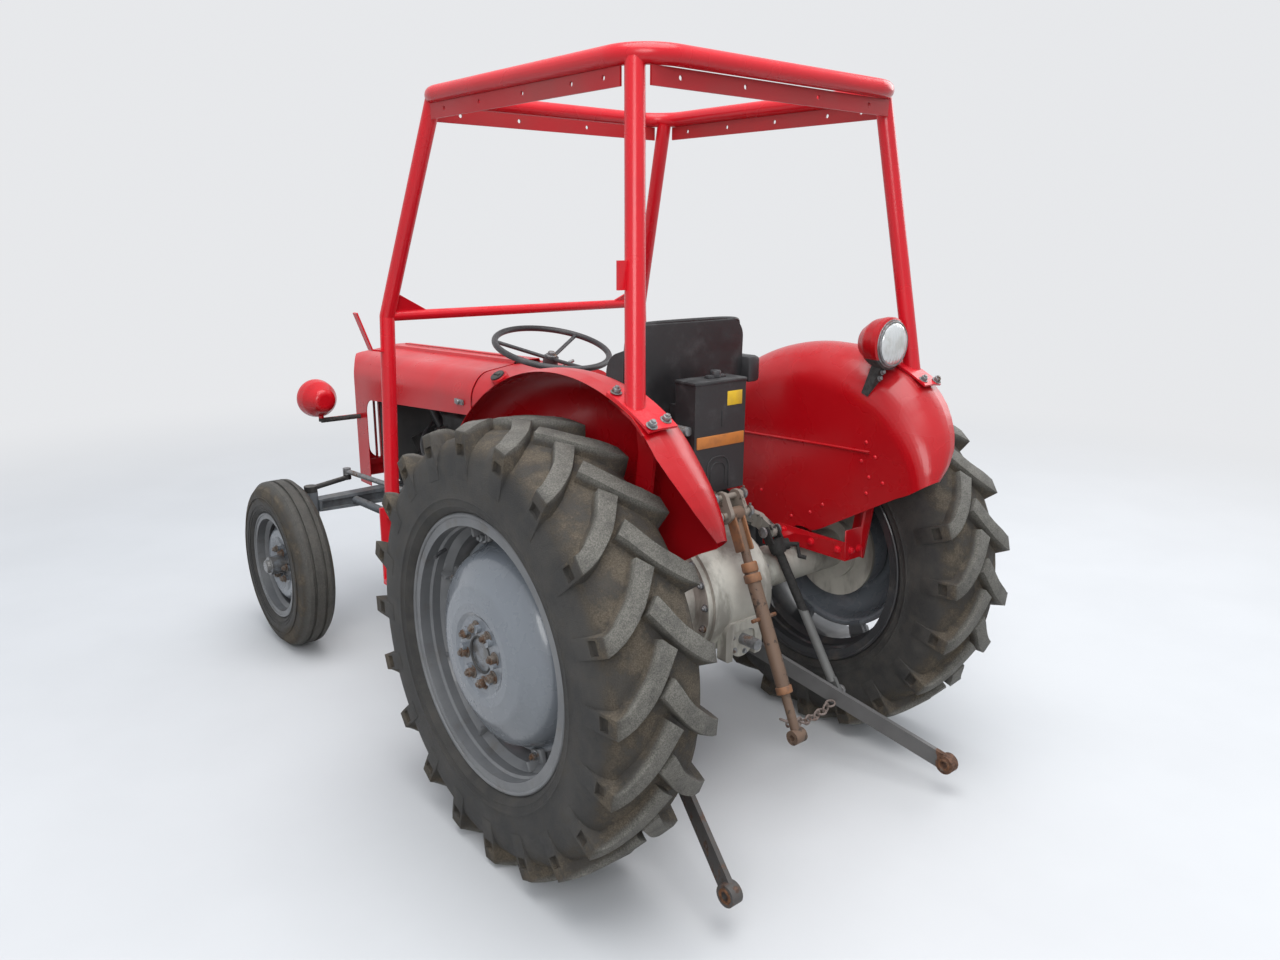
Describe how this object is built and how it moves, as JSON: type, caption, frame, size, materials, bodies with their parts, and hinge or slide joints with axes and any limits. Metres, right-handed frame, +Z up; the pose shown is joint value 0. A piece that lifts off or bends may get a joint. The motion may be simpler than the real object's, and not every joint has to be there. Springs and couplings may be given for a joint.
{
  "type": "farm tractor",
  "caption": "Farm tractor with large lugged rear wheels, steered front wheels, tilting bonnet, rear linkage hitch and an open tubular safety frame.",
  "frame": {"origin": "on the ground, at the middle of the machine's box", "axes": "+Z up, +Y to the machine's rear, +X to its left"},
  "size_m": [1.6366, 2.851, 2.1402],
  "materials": {
    "tyre_rubber": "dusty",
    "wheel_grey": "worn satin",
    "axle_grey": "worn satin",
    "dark_iron": "oily",
    "housing_grey": "worn, oily",
    "grey_steel": "worn",
    "rust_brown": "rusty",
    "hood_red": "weathered",
    "frame_red": "glossy",
    "frame_strip": "weathered",
    "dash_red": "weathered",
    "wheel_rim_black": "worn",
    "seat_black": "satin",
    "seat_vinyl": "vinyl, worn",
    "box_black": "matte",
    "lamp_red": "glossy"
  },
  "bodies": {
    "chassis": {"front_axle": "axle_grey", "front_support": "dark_iron", "engine": "dark_iron", "exhaust": "rust_brown", "gearbox": "housing_grey", "centre_housing": "housing_grey", "axle_housings": "housing_grey", "lift_cover": "housing_grey", "top_link_rocker": "housing_grey", "radiator": "dark_iron", "fuel_tank": "dash_red", "dash": "dash_red", "steering_column": "dark_iron", "fenders": "hood_red", "footplates": "axle_grey", "seat_shell": "seat_black", "seat_cushions": "seat_vinyl", "seat_box": "box_black", "roof_hoop": "frame_red", "roof_strips": "frame_strip", "front_frame": "frame_red", "rear_posts": "frame_red", "work_lamp": "lamp_red"},
    "bonnet": {"bonnet": "hood_red", "grille": "dash_red", "headlamps": "lamp_red"},
    "steering_wheel": {"steering_wheel": "wheel_rim_black"},
    "lift_arms": {"lift_arms": "housing_grey"},
    "top_link": {"top_link": "rust_brown"},
    "pto_shaft": {"pto_shaft": "grey_steel"},
    "wheel_rear_left": {"rear_wheel_left": "wheel_grey", "rear_tyre_left": "tyre_rubber"},
    "wheel_front_left": {"front_wheel_left": "wheel_grey", "front_tyre_left": "tyre_rubber"},
    "knuckle_left": {"knuckle_left": "dark_iron"},
    "drag_link_left": {"drag_link_left": "grey_steel"},
    "drop_arm_left": {"drop_arm_left": "grey_steel"},
    "lower_link_left": {"lower_link_left": "grey_steel"},
    "lift_rod_left": {"lift_rod_left": "grey_steel"},
    "wheel_rear_right": {"rear_wheel_right": "wheel_grey", "rear_tyre_right": "tyre_rubber"},
    "wheel_front_right": {"front_wheel_right": "wheel_grey", "front_tyre_right": "tyre_rubber"},
    "knuckle_right": {"knuckle_right": "dark_iron"},
    "drag_link_right": {"drag_link_right": "grey_steel"},
    "drop_arm_right": {"drop_arm_right": "grey_steel"},
    "lower_link_right": {"lower_link_right": "grey_steel", "check_chain": "rust_brown"},
    "lift_rod_right": {"lift_rod_right": "grey_steel"}
  },
  "joints": [
    {"name": "rear_wheel_spin_left", "type": "hinge", "parent": "chassis", "child": "wheel_rear_left", "pos_m": [0.66, 0.7565, 0.62], "axis": [1, 0, 0], "continuous": true},
    {"name": "rear_wheel_spin_right", "type": "hinge", "parent": "chassis", "child": "wheel_rear_right", "pos_m": [-0.66, 0.7565, 0.62], "axis": [1, 0, 0], "continuous": true},
    {"name": "steer_left", "type": "hinge", "parent": "chassis", "child": "knuckle_left", "pos_m": [0.535, -1.0735, 0.5], "axis": [0, 0, 1], "range_deg": [-38, 38]},
    {"name": "steer_right", "type": "hinge", "parent": "chassis", "child": "knuckle_right", "pos_m": [-0.535, -1.0735, 0.5], "axis": [0, 0, 1], "range_deg": [-38, 38]},
    {"name": "front_wheel_spin_left", "type": "hinge", "parent": "knuckle_left", "child": "wheel_front_left", "pos_m": [0.655, -1.0735, 0.352], "axis": [1, 0, 0], "continuous": true},
    {"name": "drag_link_swing_left", "type": "hinge", "parent": "knuckle_left", "child": "drag_link_left", "pos_m": [0.35, -1.1215, 0.693], "axis": [0, 0, 1], "range_deg": [-36.33, 36.33]},
    {"name": "drop_arm_swing_left", "type": "hinge", "parent": "chassis", "child": "drop_arm_left", "pos_m": [0.2, -0.1085, 0.884], "axis": [1, 0, 0], "range_deg": [-37.55, 37.55]},
    {"name": "front_wheel_spin_right", "type": "hinge", "parent": "knuckle_right", "child": "wheel_front_right", "pos_m": [-0.655, -1.0735, 0.352], "axis": [1, 0, 0], "continuous": true},
    {"name": "drag_link_swing_right", "type": "hinge", "parent": "knuckle_right", "child": "drag_link_right", "pos_m": [-0.35, -1.1215, 0.693], "axis": [0, 0, 1], "range_deg": [-36.33, 36.33]},
    {"name": "drop_arm_swing_right", "type": "hinge", "parent": "chassis", "child": "drop_arm_right", "pos_m": [-0.2, -0.1085, 0.884], "axis": [1, 0, 0], "range_deg": [-37.55, 37.55]},
    {"name": "steering_wheel_turn", "type": "hinge", "parent": "chassis", "child": "steering_wheel", "pos_m": [0, -0.0335, 1.312], "axis": [0, 0.2588, 0.9659], "range_deg": [-456, 456]},
    {"name": "bonnet_tilt", "type": "hinge", "parent": "chassis", "child": "bonnet", "pos_m": [0, -1.2435, 0.655], "axis": [1, 0, 0], "range_deg": [0, 60]},
    {"name": "lower_link_lift_left", "type": "hinge", "parent": "chassis", "child": "lower_link_left", "pos_m": [0.195, 0.6265, 0.41], "axis": [1, 0, 0], "range_deg": [0, 35]},
    {"name": "lower_link_lift_right", "type": "hinge", "parent": "chassis", "child": "lower_link_right", "pos_m": [-0.195, 0.6265, 0.41], "axis": [1, 0, 0], "range_deg": [0, 35]},
    {"name": "lift_arms_turn", "type": "hinge", "parent": "chassis", "child": "lift_arms", "pos_m": [0, 0.5665, 0.872], "axis": [1, 0, 0], "range_deg": [0, 57.75]},
    {"name": "lift_rod_swing_left", "type": "hinge", "parent": "lift_arms", "child": "lift_rod_left", "pos_m": [0.282, 0.7985, 0.763], "axis": [1, 0, 0], "range_deg": [-54.6, 0]},
    {"name": "lift_rod_swing_right", "type": "hinge", "parent": "lift_arms", "child": "lift_rod_right", "pos_m": [-0.282, 0.7985, 0.763], "axis": [1, 0, 0], "range_deg": [-54.6, 0]},
    {"name": "top_link_swing", "type": "hinge", "parent": "chassis", "child": "top_link", "pos_m": [0, 0.9065, 0.898], "axis": [1, 0, 0], "range_deg": [0, 110]},
    {"name": "pto_spin", "type": "hinge", "parent": "chassis", "child": "pto_shaft", "pos_m": [0, 0.9565, 0.512], "axis": [0, 1, 0], "continuous": true}
  ],
  "couplings": [
    {"joint": "steer_right", "follows": "steer_left", "ratio": 1},
    {"joint": "drag_link_swing_left", "follows": "steer_left", "ratio": -0.956},
    {"joint": "drop_arm_swing_left", "follows": "steer_left", "ratio": -0.988},
    {"joint": "drag_link_swing_right", "follows": "steer_left", "ratio": -0.956},
    {"joint": "drop_arm_swing_right", "follows": "steer_left", "ratio": 0.988},
    {"joint": "steering_wheel_turn", "follows": "steer_left", "ratio": 12},
    {"joint": "lower_link_lift_right", "follows": "lower_link_lift_left", "ratio": 1},
    {"joint": "lift_arms_turn", "follows": "lower_link_lift_left", "ratio": 1.65},
    {"joint": "lift_rod_swing_left", "follows": "lower_link_lift_left", "ratio": -1.56},
    {"joint": "lift_rod_swing_right", "follows": "lower_link_lift_left", "ratio": -1.56}
  ]
}
